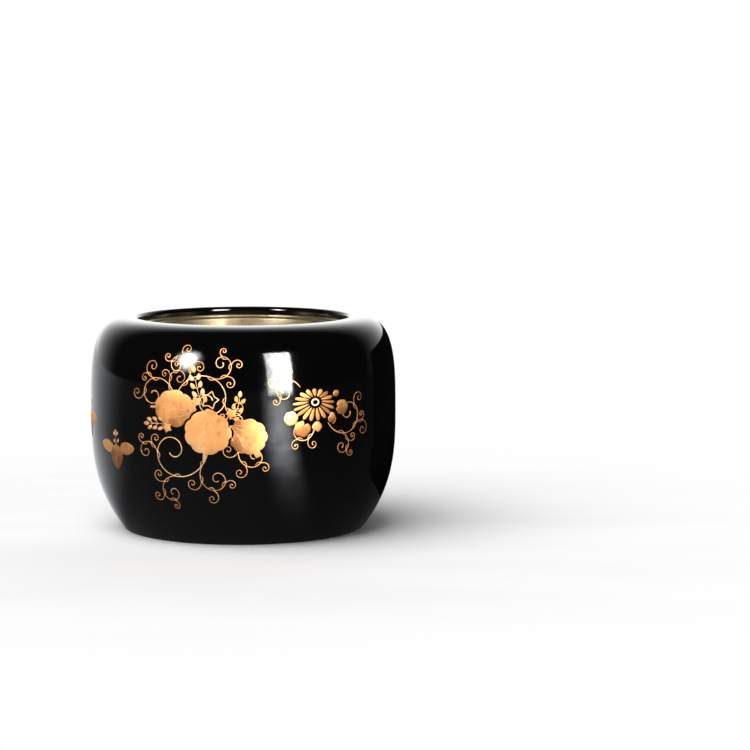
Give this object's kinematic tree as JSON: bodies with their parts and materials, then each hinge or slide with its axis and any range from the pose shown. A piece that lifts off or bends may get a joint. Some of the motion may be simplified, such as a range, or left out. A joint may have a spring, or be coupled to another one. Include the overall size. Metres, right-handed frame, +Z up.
{
  "type": "lined lacquer bowl",
  "caption": "Round black lacquered wooden bowl with a wide rounded rim, gold leaf-and-scroll decoration and a brass liner that lifts out of its mouth.",
  "frame": {"origin": "centre of the face that the bowl stands on, on its axis", "axes": "+Z up along the axis of revolution; -Y towards the side with the three large leaves; +X to the viewer's right"},
  "size_m": [0.303, 0.303, 0.21],
  "materials": {
    "black_lacquer": "turned wood under polished black lacquer, mirror gloss outside",
    "board_wood": "wood under one thin coat of dark lacquer, satin",
    "bamboo": "bare bamboo, cut flush",
    "liner_brass": "sheet brass, unpolished, brown tarnish",
    "rim_wire": "drawn iron wire",
    "gold_powder": "gold powder on lacquer relief, soft metallic sheen"
  },
  "bodies": {
    "bowl": {"bowl_body": "black_lacquer", "base_board": "board_wood", "base_pegs": "bamboo"},
    "liner": {"liner_wall": "liner_brass", "liner_floor": "liner_brass", "liner_rim_wire": "rim_wire"}
  },
  "joints": [
    {"name": "liner_lift", "type": "slide", "parent": "bowl", "child": "liner", "axis": [0, 0, 1], "range_m": [0, 0.18]}
  ]
}
